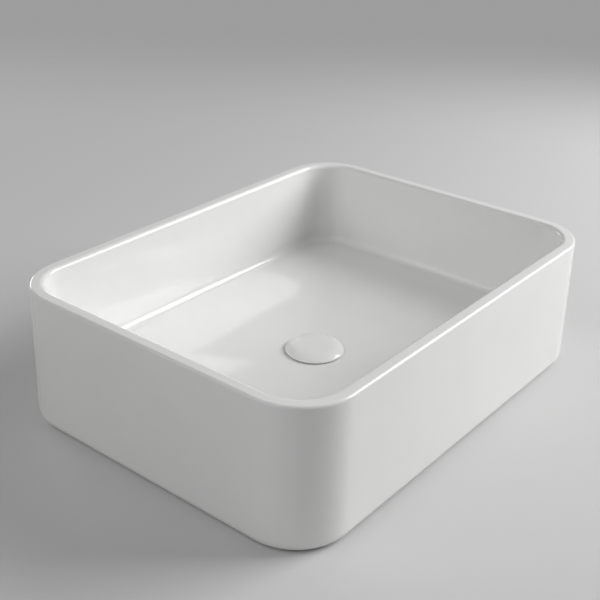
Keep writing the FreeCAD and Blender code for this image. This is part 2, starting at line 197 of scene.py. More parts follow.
def section_grid(tree, start, attribute):
    """A grid with a row for each point of a section and a column for each point round it.

    Returns the grid, the share of the way round, and the section's place and attribute in a row.
    """
    section_points = start.outputs["Section Points"]
    columns = maths(tree, "ADD", start.outputs["Points Round"], 1.0)
    grid = add_node(tree, "GeometryNodeMeshGrid", {
        "Size X": 1.0, "Size Y": 1.0, "Vertices X": columns, "Vertices Y": section_points})
    place = add_node(tree, "GeometryNodeInputPosition")
    across = add_node(tree, "ShaderNodeSeparateXYZ", {0: place.outputs[0]})
    round_share = maths(tree, "ADD", across.outputs["X"], 0.5)
    row_share = maths(tree, "ADD", across.outputs["Y"], 0.5)
    row_number = maths(tree, "MULTIPLY", row_share, maths(tree, "SUBTRACT", section_points, 1.0))
    row = add_node(tree, "FunctionNodeFloatToInt", {0: row_number}, rounding_mode="ROUND")
    named = add_node(tree, "GeometryNodeInputNamedAttribute", {"Name": attribute},
                     data_type="FLOAT")
    found = []
    for value, kind in ((place.outputs[0], "FLOAT_VECTOR"), (named.outputs[0], "FLOAT")):
        sample = add_node(tree, "GeometryNodeSampleIndex", {
            "Geometry": start.outputs["Geometry"], "Value": value, "Index": row.outputs[0]},
            data_type=kind)
        found.append(sample.outputs[0])
    section = add_node(tree, "ShaderNodeSeparateXYZ", {0: found[0]})
    return grid.outputs[0], round_share, section.outputs, found[1]


def end_tree(tree, end, geometry, material):
    """Ends a tree in plain geometry with its material."""
    whole = add_node(tree, "GeometryNodeRealizeInstances", {0: geometry})
    painted = add_node(tree, "GeometryNodeSetMaterial", {
        "Geometry": whole.outputs[0], "Material": material})
    tree.links.new(painted.outputs[0], end.inputs[0])


def swept_section_tree():
    """Sets a grid's rows along a section and its columns along a rectangle with round corners."""
    tree, start, end = new_tree("swept_section", {
        "Width": "NodeSocketFloat", "Depth": "NodeSocketFloat",
        "Corner Radius": "NodeSocketFloat", "Points Round": "NodeSocketInt",
        "Section Points": "NodeSocketInt", "Material": "NodeSocketMaterial"})
    grid, round_share, section, roundness = section_grid(tree, start, "roundness")
    rectangle = add_node(tree, "GeometryNodeCurvePrimitiveQuadrilateral", {
        "Width": start.outputs["Width"], "Height": start.outputs["Depth"]})
    outline = add_node(tree, "GeometryNodeFilletCurve", {
        "Curve": rectangle.outputs[0], "Radius": start.outputs["Corner Radius"],
        "Count": POINTS_ROUND_A_CORNER}, mode="POLY")
    along = add_node(tree, "GeometryNodeSampleCurve", {
        "Curves": outline.outputs[0], "Factor": round_share}, use_all_curves=True)
    inward = vectors(tree, "CROSS_PRODUCT", {0: (0, 0, 1), 1: along.outputs["Tangent"]})
    outward = vectors(tree, "NORMALIZE", {0: along.outputs["Position"]})
    step_in = vectors(tree, "SCALE", {0: inward, "Scale": section["X"]})
    square = vectors(tree, "ADD", {0: along.outputs["Position"], 1: step_in})
    ring = vectors(tree, "SCALE", {0: outward, "Scale": section["Y"]})
    mixed = add_node(tree, "ShaderNodeMix", {"Factor": roundness, 4: square, 5: ring},
                     data_type="VECTOR")
    plan = add_node(tree, "ShaderNodeSeparateXYZ", {0: mixed.outputs[1]})
    final = add_node(tree, "ShaderNodeCombineXYZ", {
        "X": plan.outputs["X"], "Y": plan.outputs["Y"], "Z": section["Z"]})
    placed = add_node(tree, "GeometryNodeSetPosition", {
        "Geometry": grid, "Position": final.outputs[0]})
    end_tree(tree, end, placed.outputs[0], start.outputs["Material"])
    return tree


def finished_mesh(name, base_mesh, tree, values):
    """Runs a tree on a mesh with its inputs set, and returns the result as a plain object."""
    maker = bpy.data.objects.new(name + "_maker", base_mesh)
    bpy.context.scene.collection.objects.link(maker)
    modifier = maker.modifiers.new(name, "NODES")
    modifier.node_group = tree
    for item in tree.interface.items_tree:
        if item.in_out == "INPUT" and item.name in values:
            modifier[item.identifier] = values[item.name]
    depsgraph = bpy.context.evaluated_depsgraph_get()
    shaped = maker.evaluated_get(depsgraph)
    mesh = bpy.data.meshes.new_from_object(shaped, depsgraph=depsgraph)
    maker.modifiers.remove(modifier)
    bpy.data.objects.remove(maker)
    mesh.name = name
    return new_piece(name, mesh)


def new_piece(name, mesh):
    """Closes the mesh's seams, turns its faces outwards, shades its rounds smooth and shows it."""
    work = bmesh.new()
    work.from_mesh(mesh)
    bmesh.ops.remove_doubles(work, verts=work.verts, dist=SEAM_GAP)
    bmesh.ops.dissolve_degenerate(work, edges=work.edges, dist=SLIVER_WIDTH)
    bmesh.ops.recalc_face_normals(work, faces=work.faces)
    for face in work.faces:
        face.smooth = True
    for edge in work.edges:
        edge.smooth = edge.calc_face_angle(0.0) < SHARP_ANGLE
    work.to_mesh(mesh)
    work.free()
    piece = bpy.data.objects.new(name, mesh)
    bpy.context.scene.collection.objects.link(piece)
    return piece


def coat(piece, material):
    """Gives a piece its one finish."""
    piece.data.materials.clear()
    piece.data.materials.append(material)


def dress(piece, material, slot, body, *nodes):
    """Gives a new piece its finish and its body, and lets it stand for its solids."""
    coat(piece, material)
    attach(piece, body)
    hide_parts(*nodes)


def surface_variation():
    """Shader group: a broad mottle and a fine ripple over a surface, each with its own scale."""
    group = bpy.data.node_groups.new("surface_variation", "ShaderNodeTree")
    for label, value in (("Mottle Scale", 20.0), ("Ripple Scale", 200.0)):
        socket = group.interface.new_socket(label, in_out="INPUT", socket_type="NodeSocketFloat")
        socket.default_value = value
    for label in ("Mottle", "Ripple"):
        group.interface.new_socket(label, in_out="OUTPUT", socket_type="NodeSocketFloat")
    start = group.nodes.new("NodeGroupInput")
    end = group.nodes.new("NodeGroupOutput")
    place = group.nodes.new("ShaderNodeTexCoord")
    for label, detail in (("Mottle", 3.0), ("Ripple", 1.0)):
        noise = add_node(group, "ShaderNodeTexNoise", {
            "Vector": place.outputs["Object"], "Scale": start.outputs[label + " Scale"],
            "Detail": detail})
        group.links.new(noise.outputs["Fac"], end.inputs[label])
    return group


SURFACE_VARIATION = surface_variation()


def new_material(name, mottle_scale, ripple_scale):
    """A material with the shared variation; returns it with its tree, shader and two masks."""
    material = bpy.data.materials.new(name)
    material.use_nodes = True
    tree = material.node_tree
    shader = tree.nodes["Principled BSDF"]
    variation = tree.nodes.new("ShaderNodeGroup")
    variation.node_tree = SURFACE_VARIATION
    variation.inputs["Mottle Scale"].default_value = mottle_scale
    variation.inputs["Ripple Scale"].default_value = ripple_scale
    return material, tree, shader, variation.outputs["Mottle"], variation.outputs["Ripple"]


def ramp(tree, factor, low, high, low_at=0.3, high_at=0.7):
    """A two-colour ramp over a value."""
    node = add_node(tree, "ShaderNodeValToRGB", {"Fac": factor})
    node.color_ramp.elements[0].position = low_at
    node.color_ramp.elements[0].color = (*low, 1)
    node.color_ramp.elements[1].position = high_at
    node.color_ramp.elements[1].color = (*high, 1)
    return node.outputs["Color"]


def roughness_between(tree, factor, low, high):
    """A roughness that wanders between two values with a mask."""
    node = add_node(tree, "ShaderNodeMapRange", {"Value": factor, "To Min": low, "To Max": high})
    return node.outputs["Result"]


def bump(tree, height, strength, distance):
    """A normal that follows the small heights of a surface."""
    node = add_node(tree, "ShaderNodeBump", {
        "Height": height, "Strength": strength, "Distance": distance})
    return node.outputs["Normal"]


def glaze_material():
    """White gloss glaze, faintly uneven where it pooled, and bare fired clay on the ground foot."""
    material, tree, shader, mottle, ripple = new_material(
        "white_glaze", mottle_scale=14.0, ripple_scale=90.0)
    glaze = ramp(tree, mottle, (0.87, 0.87, 0.862), (0.895, 0.895, 0.89))
    clay = ramp(tree, ripple, (0.66, 0.62, 0.56), (0.74, 0.70, 0.64))
    place = tree.nodes.new("ShaderNodeTexCoord")
    height = add_node(tree, "ShaderNodeSeparateXYZ", {0: place.outputs["Object"]})
    bare = add_node(tree, "ShaderNodeMapRange", {
        "Value": height.outputs["Z"], "From Min": BARE_CLAY_TOP, "From Max": GLAZE_FOOT,
        "To Min": 1.0, "To Max": 0.0}).outputs[0]
    colour = add_node(tree, "ShaderNodeMix", {"Factor": bare, 6: glaze, 7: clay}, data_type="RGBA")
    tree.links.new(colour.outputs[2], shader.inputs["Base Color"])
    gloss = roughness_between(tree, mottle, low=0.08, high=0.11)
    clay_roughness = 0.65
    rough = add_node(tree, "ShaderNodeMix", {"Factor": bare, 2: gloss, 3: clay_roughness})
    tree.links.new(rough.outputs[0], shader.inputs["Roughness"])
    waves = bump(tree, ripple, strength=0.05, distance=0.0004)
    tree.links.new(waves, shader.inputs["Normal"])
    shader.inputs["IOR"].default_value = GLAZE_IOR
    return material


WHITE_GLAZE = glaze_material()
bowl_rows = bowl_section()
bowl_line = section_line("bowl", [row[:3] for row in bowl_rows], "roundness",
                         [row[3] for row in bowl_rows])
bowl = finished_mesh("glazed_basin", bowl_line, swept_section_tree(), {
    "Width": BOWL_HIGH.x - BOWL_LOW.x, "Depth": BOWL_HIGH.y - BOWL_LOW.y,
    "Corner Radius": CORNER_RADIUS, "Points Round": POINTS_ROUND_THE_BOWL,
    "Section Points": len(bowl_rows), "Material": WHITE_GLAZE})
dress(bowl, WHITE_GLAZE, "glaze", "basin", "basin_bowl")

# Flange seal: a flat ring of black rubber, cut from sheet.
# It lies under the waste's flange and keeps water out of the drain hole.
SEAL_LOW, SEAL_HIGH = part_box("flange_seal")
SEAL_BORE = 0.0213
RUBBER_EDGE = 0.0004
HEXAGON = 6


def turned_section_tree():
    """Turns a section about the upright axis, with a thread where it is marked, and six flats."""
    tree, start, end = new_tree("turned_section", {
        "Points Round": "NodeSocketInt", "Section Points": "NodeSocketInt",
        "Thread Pitch": "NodeSocketFloat", "Thread Depth": "NodeSocketFloat",
        "Flat Distance": "NodeSocketFloat", "Material": "NodeSocketMaterial"})
    grid, turn_share, section, threaded = section_grid(tree, start, "threaded")
    turn = maths(tree, "MULTIPLY", turn_share, math.tau)
    pitches = maths(tree, "DIVIDE", section["Z"], start.outputs["Thread Pitch"])
    phase = maths(tree, "FRACT", maths(tree, "SUBTRACT", pitches, turn_share))
    flank = maths(tree, "PINGPONG", maths(tree, "MULTIPLY", phase, 2.0), 1.0)
    rounded = add_node(tree, "ShaderNodeMapRange", {"Value": flank},
                       interpolation_type="SMOOTHSTEP")
    depth = maths(tree, "MULTIPLY", rounded.outputs["Result"], start.outputs["Thread Depth"])
    radius = maths(tree, "SUBTRACT", section["X"], maths(tree, "MULTIPLY", depth, threaded))
    side = math.tau / HEXAGON
    off_flat = maths(tree, "SUBTRACT", maths(tree, "MODULO", turn, side), side / 2)
    flat = maths(tree, "DIVIDE", start.outputs["Flat Distance"], maths(tree, "COSINE", off_flat))
    limited = maths(tree, "MINIMUM", radius, flat)
    final = add_node(tree, "ShaderNodeCombineXYZ", {
        "X": maths(tree, "MULTIPLY", limited, maths(tree, "COSINE", turn)),
        "Y": maths(tree, "MULTIPLY", limited, maths(tree, "SINE", turn)), "Z": section["Z"]})
    placed = add_node(tree, "GeometryNodeSetPosition", {
        "Geometry": grid, "Position": final.outputs[0]})
    end_tree(tree, end, placed.outputs[0], start.outputs["Material"])
    return tree


TURNED_SECTION = turned_section_tree()


def turned_piece(name, points, material, threads=(), round_points=128, pitch=1.0, depth=0.0,
                 flat_distance=1.0):
    """A solid of revolution about the upright axis from a section of (radius, height) points."""
    line = section_line(name, [(point[0], 0, point[1]) for point in points], "threaded",
                        threads or [0.0] * len(points))
    return finished_mesh(name, line, TURNED_SECTION, {
        "Points Round": round_points, "Section Points": len(points), "Thread Pitch": pitch,
        "Thread Depth": depth, "Flat Distance": flat_distance, "Material": material})


def ring_section(inner, outer, low, high, edge):
    """The closed section of a plain ring whose four edges are rounded."""
    return rounded_outline([
        (inner, (low + high) / 2, 0), (inner, high, edge), (outer, high, edge),
        (outer, low, edge), (inner, low, edge), (inner, (low + high) / 2, 0)],
        steps=5, support=edge / 4)


def moulded_material(name, low, high, smooth, rough, mottle_scale, grain_scale, grain,
                     grain_height):
    """Moulded rubber or plastic: faintly cloudy, with a wandering sheen and a fine grain."""
    material, tree, shader, mottle, ripple = new_material(name, mottle_scale, grain_scale)
    tree.links.new(ramp(tree, mottle, low, high), shader.inputs["Base Color"])
    tree.links.new(roughness_between(tree, mottle, smooth, rough), shader.inputs["Roughness"])
    tree.links.new(bump(tree, ripple, grain, grain_height), shader.inputs["Normal"])
    return material


RUBBER = moulded_material(
    "black_rubber", (0.018, 0.018, 0.019), (0.045, 0.045, 0.046), smooth=0.62, rough=0.85,
    mottle_scale=60.0, grain_scale=1800.0, grain=0.35, grain_height=0.0002)
seal = turned_piece("flange_seal_ring", ring_section(
    SEAL_BORE, SEAL_HIGH.x, SEAL_LOW.z, SEAL_HIGH.z, RUBBER_EDGE), RUBBER)
dress(seal, RUBBER, "seal_rubber", "basin", "flange_seal")

# Waste body: a flanged brass tube, turned, threaded outside and plated bright.
# Four arms across its bore carry a hub that the click cartridge is screwed to.
WASTE_LOW, WASTE_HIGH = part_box("waste_body")
JAM_LOW, JAM_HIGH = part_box("jam_nut")
FLANGE_RADIUS = WASTE_HIGH.x
FLANGE_FOOT = SEAL_HIGH.z
FLANGE_CHAMFER = 0.0008
TAIL_RADIUS = 0.020955
TAIL_CHAMFER = 0.0015
THREAD_PITCH = 0.002309
THREAD_DEPTH = 0.00125
ROWS_PER_PITCH = 10
GROOVE_DROP = 0.032
GROOVE_WIDTH = 0.003
GROOVE_DEPTH = 0.0012
GROOVE_FLANK = 0.0004
GROOVE_TOP = FLANGE_FOOT - GROOVE_DROP
GROOVE_FOOT = GROOVE_TOP - GROOVE_WIDTH
GROOVE_RADIUS = TAIL_RADIUS - GROOVE_DEPTH
BORE_RADIUS = 0.018
SPIDER_ARMS = 4
ARM_WIDTH = 0.003
ARM_HEIGHT = 0.007
ARM_EDGE = 0.0006
ARM_ROOT = 0.0004
HUB_RADIUS = 0.008
HUB_BORE = 0.00415
SPIDER_LOW = JAM_HIGH.z
SPIDER_HIGH = SPIDER_LOW + ARM_HEIGHT


def metal_material(name, low, high, smooth, rough, ring_depth):
    """Turned metal: a faint mottle, a wandering gloss and fine rings left by the lathe."""
    material, tree, shader, mottle, ripple = new_material(
        name, mottle_scale=45.0, ripple_scale=500.0)
    shader.inputs["Metallic"].default_value = 1.0
    tree.links.new(ramp(tree, mottle, low, high), shader.inputs["Base Color"])
    tree.links.new(roughness_between(tree, mottle, smooth, rough), shader.inputs["Roughness"])
    place = tree.nodes.new("ShaderNodeTexCoord")
    rings = add_node(tree, "ShaderNodeTexWave", {
        "Vector": place.outputs["Object"], "Scale": 900.0, "Distortion": 1.5, "Detail": 1.0},
        wave_type="BANDS", bands_direction="Z")
    grain = maths(tree, "MULTIPLY", rings.outputs["Fac"], ripple)
    tree.links.new(bump(tree, grain, ring_depth, distance=0.0001), shader.inputs["Normal"])
    return material


def threaded_rows(radius, high, length, pitch):
    """Rows down a threaded stretch, each a point (radius, height) with its share of the thread."""
    count = math.ceil(length / pitch * ROWS_PER_PITCH)
    rows = []
    for number in range(count + 1):
        share = number / count
        run_out = min(share, 1 - share) * length / pitch
        rows.append(((radius, high - length * share), min(1.0, run_out)))
    return rows


def threaded_piece(name, rows, material, round_points, pitch, depth):
    """A turned piece from rows of points with their share of a thread."""
    return turned_piece(name, [point for point, share in rows], material,
                        [share for point, share in rows], round_points, pitch, depth)


def arms_tree():
    """Repeats one arm evenly round the upright axis."""
    tree, start, end = new_tree("arms_round_the_axis", {
        "Count": "NodeSocketInt", "Material": "NodeSocketMaterial"})
    points = add_node(tree, "GeometryNodePoints", {"Count": start.outputs["Count"]})
    number = tree.nodes.new("GeometryNodeInputIndex")
    step = maths(tree, "DIVIDE", math.tau, start.outputs["Count"])
    turn = maths(tree, "MULTIPLY", number.outputs[0], step)
    facing = add_node(tree, "ShaderNodeCombineXYZ", {"Z": turn})
    rotation = add_node(tree, "FunctionNodeEulerToRotation", {0: facing.outputs[0]})
    arms = add_node(tree, "GeometryNodeInstanceOnPoints", {
        "Points": points.outputs[0], "Instance": start.outputs["Geometry"],
        "Rotation": rotation.outputs[0]})
    end_tree(tree, end, arms.outputs[0], start.outputs["Material"])
    return tree


def arm_mesh(name, inner, outer, width, low, high, edge):
    """One bar along +X whose long edges are rounded."""
    half = width / 2
    outline = rounded_outline([
        (0, high, 0), (half, high, edge), (half, low, edge), (-half, low, edge),
        (-half, high, edge), (0, high, 0)], steps=4, support=edge / 4)[:-1]
    count = len(outline)
    places = [(x, point.x, point.y) for x in (inner, outer) for point in outline]
    faces = [tuple(range(count)), tuple(range(count, 2 * count))]
    for number in range(count):
        ahead = (number + 1) % count
        faces.append((number, ahead, ahead + count, number + count))
    mesh = bpy.data.meshes.new(name)
    mesh.from_pydata(places, [], faces)
    return mesh


CHROME = metal_material("bright_plating", (0.72, 0.73, 0.75), (0.78, 0.79, 0.81),
                        smooth=0.05, rough=0.12, ring_depth=0.08)
flange_outline = rounded_outline([
    (BORE_RADIUS, WASTE_HIGH.z - 2 * FLANGE_CHAMFER, 0),
    (BORE_RADIUS, WASTE_HIGH.z, FLANGE_CHAMFER),
    (FLANGE_RADIUS, WASTE_HIGH.z, FLANGE_CHAMFER),
    (FLANGE_RADIUS, FLANGE_FOOT, FLANGE_CHAMFER / 3),
    (TAIL_RADIUS, FLANGE_FOOT, 0)], steps=8, support=0.0001)
tail_foot = WASTE_LOW.z + TAIL_CHAMFER
tail = [(point, 0.0) for point in flange_outline]
tail += threaded_rows(TAIL_RADIUS, FLANGE_FOOT, FLANGE_FOOT - GROOVE_TOP, THREAD_PITCH)
tail += [((GROOVE_RADIUS, GROOVE_TOP - GROOVE_FLANK), 0.0),
         ((GROOVE_RADIUS, GROOVE_FOOT + GROOVE_FLANK), 0.0)]
tail += threaded_rows(TAIL_RADIUS, GROOVE_FOOT, GROOVE_FOOT - tail_foot, THREAD_PITCH)
tail += [((TAIL_RADIUS - TAIL_CHAMFER, WASTE_LOW.z), 0.0), ((BORE_RADIUS, WASTE_LOW.z), 0.0),
         ((BORE_RADIUS, SPIDER_LOW), 0.0), ((BORE_RADIUS, SPIDER_HIGH), 0.0),
         (flange_outline[0], 0.0)]
waste = threaded_piece("plated_waste", tail, CHROME, round_points=128, pitch=THREAD_PITCH,
                       depth=THREAD_DEPTH)
dress(waste, CHROME, "waste_metal", "basin", "waste_body")
hub = turned_piece("waste_hub", ring_section(
    HUB_BORE, HUB_RADIUS, SPIDER_LOW, SPIDER_HIGH, ARM_EDGE), CHROME)
dress(hub, CHROME, "waste_metal", "basin", "waste_body")
arm = arm_mesh("arm", HUB_RADIUS - ARM_ROOT, BORE_RADIUS + ARM_ROOT, ARM_WIDTH,
               SPIDER_LOW, SPIDER_HIGH, ARM_EDGE)
arms = finished_mesh("waste_arms", arm, arms_tree(), {"Count": SPIDER_ARMS, "Material": CHROME})
dress(arms, CHROME, "waste_metal", "basin", "waste_body")

# Under gasket: a thick cone of black rubber, moulded.
# The back nut squeezes it against the basin's underside, round the tail.
GASKET_LOW, GASKET_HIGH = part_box("under_gasket")
GASKET_MIDDLE = (GASKET_LOW.z + GASKET_HIGH.z) / 2
GASKET_TAPER = 0.003
THREAD_CLEARANCE = 0.00015
STACK_BORE = TAIL_RADIUS + THREAD_CLEARANCE
gasket = turned_piece("under_gasket_cone", rounded_outline([
    (STACK_BORE, GASKET_MIDDLE, 0),
    (STACK_BORE, GASKET_HIGH.z, RUBBER_EDGE),
    (GASKET_HIGH.x - GASKET_TAPER, GASKET_HIGH.z, RUBBER_EDGE),
    (GASKET_HIGH.x, GASKET_LOW.z, RUBBER_EDGE),
    (STACK_BORE, GASKET_LOW.z, RUBBER_EDGE),
    (STACK_BORE, GASKET_MIDDLE, 0)], steps=5, support=RUBBER_EDGE / 4), RUBBER)
dress(gasket, RUBBER, "seal_rubber", "basin", "under_gasket")

# Slip washer: a flat ring of natural nylon between the gasket and the nut.
# It lets the nut turn without dragging the rubber round.
WASHER_LOW, WASHER_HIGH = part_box("slip_washer")
WASHER_EDGE = 0.0003


def plastic_material(name, low, high, smooth, rough):
    """A moulded plastic with a satin grain."""
    return moulded_material(name, low, high, smooth, rough, mottle_scale=30.0,
                            grain_scale=1500.0, grain=0.12, grain_height=0.0001)


NYLON = plastic_material("natural_nylon", (0.74, 0.72, 0.65), (0.82, 0.80, 0.74),
                         smooth=0.38, rough=0.52)
washer = turned_piece("nylon_washer", ring_section(
    STACK_BORE, WASHER_HIGH.x, WASHER_LOW.z, WASHER_HIGH.z, WASHER_EDGE), NYLON)
dress(washer, NYLON, "washer_nylon", "basin", "slip_washer")

# Back nut: a plated brass hexagon, turned with a chamfer on both faces and tapped for the tail.
# It is screwed up the tail by hand and pulls the basin's floor between flange and gasket.
NUT_LOW, NUT_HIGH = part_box("back_nut")
NUT_FACE_SHARE = 0.96
NUT_CHAMFER = math.radians(30)
NUT_CHAMFER_STEPS = 8
NUT_EDGES_PER_CHAMFER = 6
NUT_POINTS_ROUND = 192


def nut_piece(name, bore, box_low, box_high, material):
    """A hexagon nut: a round bar with flats and a chamfer that leaves a bow on each flat."""
    corner, flat = box_high.x, box_high.y
    low, high = box_low.z, box_high.z
    face_radius = flat * NUT_FACE_SHARE
    chamfer = (corner - face_radius) * math.tan(NUT_CHAMFER)
    edge = chamfer / NUT_EDGES_PER_CHAMFER
    slope = [(face_radius + (corner - face_radius) * step / NUT_CHAMFER_STEPS,
              chamfer * step / NUT_CHAMFER_STEPS) for step in range(NUT_CHAMFER_STEPS + 1)]
    points = [(bore, low + edge), (bore + edge, low)]
    points += [(radius, low + rise) for radius, rise in slope]
    points += [(radius, high - rise) for radius, rise in reversed(slope)]
    points += [(bore + edge, high), (bore, high - edge), (bore, low + edge)]
    return turned_piece(name, points, material, round_points=NUT_POINTS_ROUND, flat_distance=flat)


nut = nut_piece("plated_back_nut", STACK_BORE, NUT_LOW, NUT_HIGH, CHROME)
dress(nut, CHROME, "waste_metal", "basin", "back_nut")

# Click cartridge: a moulded acetal barrel whose stud drops through the spider's hub.
# A brass jam nut holds it from below, and a bush is pressed into its mouth to guide the plunger.
HOUSING_LOW, HOUSING_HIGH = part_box("cartridge_housing")
SPRING_LOW, SPRING_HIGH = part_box("lift_spring")
RING_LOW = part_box("index_ring")[0]
BUSH_LOW, BUSH_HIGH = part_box("guide_bush")
BARREL_RADIUS = HOUSING_HIGH.x
BARREL_MOUTH_CHAMFER = 0.0004
BARREL_FOOT_CHAMFER = 0.0006
SPRING_BORE = 0.0058
RING_BORE = 0.0064
RING_GAP = 0.0002
RING_SHELF = RING_LOW.z - RING_GAP
GRIP_RINGS = 5
GRIP_DEPTH = 0.0004
GRIP_DROP = 0.004
GRIP_SPACING = 0.0022
GRIP_HALF_MOUTH = 0.0005
GRIP_HALF_FLOOR = 0.0002
STUD_RADIUS = 0.004
STUD_PITCH = 0.00125
STUD_THREAD_DEPTH = 0.0006
STUD_LENGTH = 0.012
PLUNGER_BORE = 0.0041
BUSH_MIDDLE = (BUSH_LOW.z + BUSH_HIGH.z) / 2
BUSH_FLANGE = 0.0012
BUSH_FLANGE_FOOT = BUSH_HIGH.z - BUSH_FLANGE
BUSH_EDGE = 0.0003
BUSH_FLANGE_EDGE = 0.0004
BUSH_UNDER_EDGE = 0.0002
ACETAL = plastic_material("white_acetal", (0.76, 0.76, 0.74), (0.81, 0.81, 0.80),
                          smooth=0.28, rough=0.42)
BRASS = metal_material("turned_brass", (0.72, 0.55, 0.27), (0.80, 0.64, 0.35),
                       smooth=0.18, rough=0.32, ring_depth=0.25)
barrel_outline = [
    (0.0, SPRING_LOW.z), (SPRING_BORE, SPRING_LOW.z), (SPRING_BORE, RING_SHELF),
    (RING_BORE, RING_SHELF), (RING_BORE, HOUSING_HIGH.z),
    (BARREL_RADIUS - BARREL_MOUTH_CHAMFER, HOUSING_HIGH.z),
    (BARREL_RADIUS, HOUSING_HIGH.z - BARREL_MOUTH_CHAMFER)]
for number in range(GRIP_RINGS):
    level = HOUSING_HIGH.z - GRIP_DROP - number * GRIP_SPACING
    barrel_outline += [(BARREL_RADIUS, level + GRIP_HALF_MOUTH),
                       (BARREL_RADIUS - GRIP_DEPTH, level + GRIP_HALF_FLOOR),
                       (BARREL_RADIUS - GRIP_DEPTH, level - GRIP_HALF_FLOOR),
                       (BARREL_RADIUS, level - GRIP_HALF_MOUTH)]
barrel_outline += [(BARREL_RADIUS, SPIDER_HIGH + BARREL_FOOT_CHAMFER),
                   (BARREL_RADIUS - BARREL_FOOT_CHAMFER, SPIDER_HIGH), (STUD_RADIUS, SPIDER_HIGH)]
barrel = [(point, 0.0) for point in barrel_outline]
barrel += threaded_rows(STUD_RADIUS, SPIDER_HIGH, STUD_LENGTH, STUD_PITCH)
barrel.append(((0.0, HOUSING_LOW.z), 0.0))
housing = threaded_piece("click_barrel", barrel, ACETAL, round_points=96, pitch=STUD_PITCH,
                         depth=STUD_THREAD_DEPTH)
dress(housing, ACETAL, "click_plastic", "basin", "cartridge_housing")
jam = nut_piece("jam_nut_hexagon", STUD_RADIUS + THREAD_CLEARANCE, JAM_LOW, JAM_HIGH, BRASS)
dress(jam, BRASS, "cap_brass", "basin", "jam_nut")
bush = turned_piece("plunger_bush", rounded_outline([
    (PLUNGER_BORE, BUSH_MIDDLE, 0),
    (PLUNGER_BORE, BUSH_HIGH.z, BUSH_EDGE),
    (BUSH_HIGH.x, BUSH_HIGH.z, BUSH_FLANGE_EDGE),
    (BUSH_HIGH.x, BUSH_FLANGE_FOOT, BUSH_UNDER_EDGE),
    (RING_BORE, BUSH_FLANGE_FOOT, 0),
    (RING_BORE, BUSH_LOW.z, BUSH_EDGE),
    (PLUNGER_BORE, BUSH_LOW.z, BUSH_EDGE),
    (PLUNGER_BORE, BUSH_MIDDLE, 0)], steps=4, support=0.00005), ACETAL)
dress(bush, ACETAL, "click_plastic", "basin", "guide_bush")

# Lift spring: a coil of drawn stainless wire in the foot of the barrel.
# It presses on the plunger's collar and lifts the cap when the click lets go.
SPRING_WIRE = 0.0009
SPRING_TURNS = 6.5
POINTS_PER_TURN = 40
POINTS_ROUND_THE_WIRE = 12


def coil_tree():
    """A round wire along a helix."""
    tree, start, end = new_tree("coil", {
        "Turns": "NodeSocketFloat", "Coil Radius": "NodeSocketFloat", "Rise": "NodeSocketFloat",
        "Wire Radius": "NodeSocketFloat", "Foot": "NodeSocketVector",
        "Material": "NodeSocketMaterial"})
    radius = start.outputs["Coil Radius"]
    path = add_node(tree, "GeometryNodeCurveSpiral", {
        "Resolution": POINTS_PER_TURN, "Rotations": start.outputs["Turns"],
        "Start Radius": radius, "End Radius": radius, "Height": start.outputs["Rise"]})
    lifted = add_node(tree, "GeometryNodeSetPosition", {
        "Geometry": path.outputs[0], "Offset": start.outputs["Foot"]})
    wire = add_node(tree, "GeometryNodeCurvePrimitiveCircle", {
        "Resolution": POINTS_ROUND_THE_WIRE, "Radius": start.outputs["Wire Radius"]})
    tube = add_node(tree, "GeometryNodeCurveToMesh", {
        "Curve": lifted.outputs[0], "Profile Curve": wire.outputs[0], "Fill Caps": True})
    end_tree(tree, end, tube.outputs[0], start.outputs["Material"])
    return tree


SPRING_STEEL = metal_material("spring_wire", (0.55, 0.56, 0.58), (0.66, 0.67, 0.69),
                              smooth=0.2, rough=0.34, ring_depth=0.15)
spring = finished_mesh("lift_coil", bpy.data.meshes.new("coil_start"), coil_tree(), {
    "Turns": SPRING_TURNS, "Coil Radius": SPRING_HIGH.x - SPRING_WIRE / 2,
    "Rise": SPRING_HIGH.z - SPRING_LOW.z - SPRING_WIRE, "Wire Radius": SPRING_WIRE / 2,
    "Foot": (0, 0, SPRING_LOW.z + SPRING_WIRE / 2), "Material": SPRING_STEEL})
coat(spring, SPRING_STEEL)
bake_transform(spring)
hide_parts("lift_spring")

# Index ring and plunger: a moulded acetal ring, and a turned brass stem with two milled tracks.
# The ring's lugs ride in the slanted tracks, so that it turns as the plunger rises.
for node, finish in (("index_ring", ACETAL), ("plunger", BRASS)):
    coat(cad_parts[node], finish)

# Cap carrier: a turned brass disc that the ceramic cap is glued on, screwed to the plunger's tip.
# Its spigot dips into the waste and has a groove for the seal ring.
CARRIER_LOW, CARRIER_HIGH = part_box("cap_carrier")
CAP_SEAL_LOW, CAP_SEAL_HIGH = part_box("cap_seal")
DISC_THICKNESS = 0.0022
DISC_FOOT = CARRIER_HIGH.z - DISC_THICKNESS
BOSS_RADIUS = 0.007
BOSS_HEIGHT = 0.006
BOSS_FOOT = DISC_FOOT - BOSS_HEIGHT
TIP_RADIUS = 0.0025
TIP_BORE = TIP_RADIUS + THREAD_CLEARANCE
TIP_LENGTH = 0.005
TIP_END_GAP = 0.0003
TIP_ROOF = BOSS_FOOT + TIP_LENGTH + TIP_END_GAP
SPIGOT_RADIUS = 0.0164
SPIGOT_WALL = 0.0035
SPIGOT_INSIDE = SPIGOT_RADIUS - SPIGOT_WALL
GROOVE_FLOOR = 0.0153
TURNED_EDGE = 0.0003
